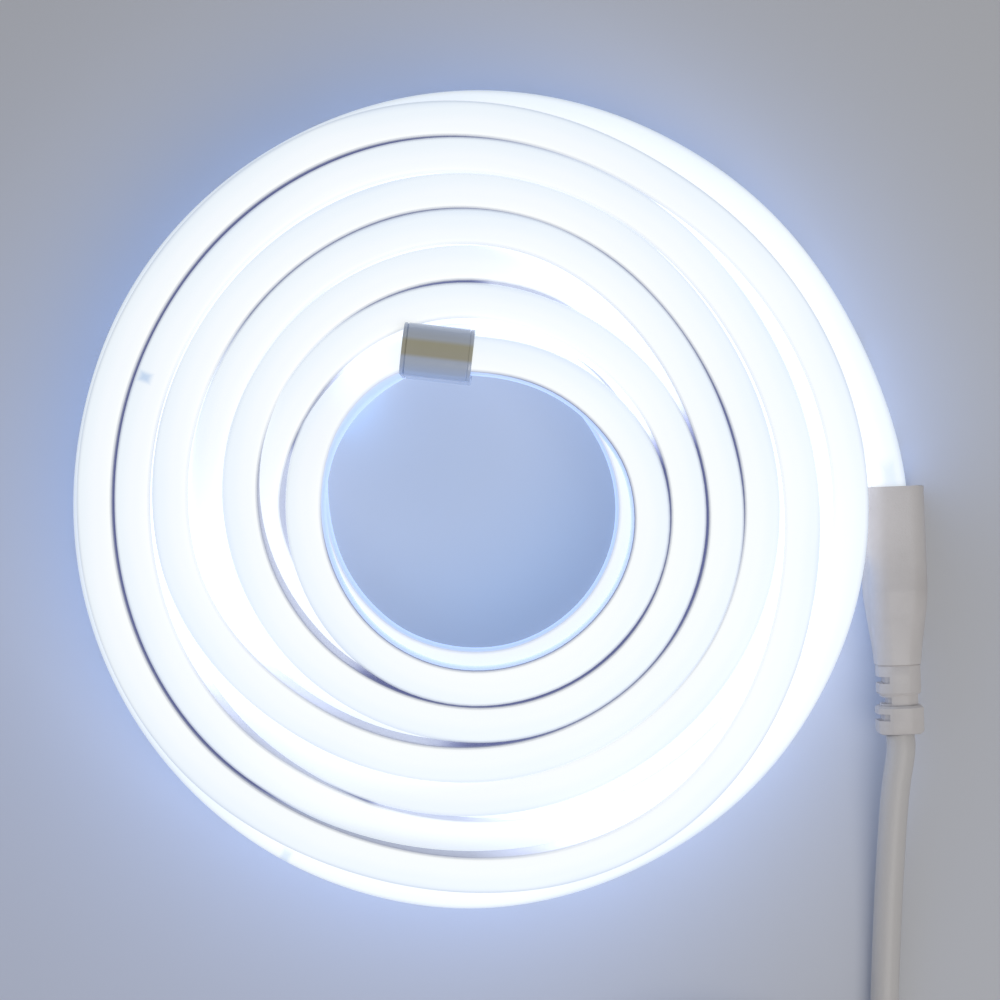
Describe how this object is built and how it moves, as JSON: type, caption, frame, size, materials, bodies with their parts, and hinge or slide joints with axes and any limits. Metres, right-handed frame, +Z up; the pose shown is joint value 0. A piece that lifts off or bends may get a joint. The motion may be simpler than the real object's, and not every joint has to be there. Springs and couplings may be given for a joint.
{
  "type": "led neon flex",
  "caption": "flexible white light-giving band wound in a flat two-layer coil, with an end cap, a moulded power connector and a mains lead with a flat plug",
  "frame": {"origin": "middle of the coiled flex, its end cap and its connector, on the plane that they lie on", "axes": "+Z up out of the coil's light-giving face, +Y from the power lead's exit back along the connector towards the flex, +X from the coil towards the connector"},
  "size_m": [0.1916, 0.3117, 0.0358],
  "materials": {
    "flex_silicone": "satin, lit cool white from inside",
    "cap_plastic": "gloss",
    "connector_plastic": "satin",
    "lead_pvc": "satin",
    "plug_plastic": "satin",
    "pin_nickel": "nickel plated"
  },
  "bodies": {
    "root": {"flex_coil": "flex_silicone", "end_cap": "cap_plastic", "power_connector": "connector_plastic", "lead_seen": "lead_pvc", "lead_coil": "lead_pvc", "lead_end": "lead_pvc", "plug_body": "plug_plastic", "plug_pin_left": "pin_nickel", "plug_pin_right": "pin_nickel"}
  },
  "joints": []
}
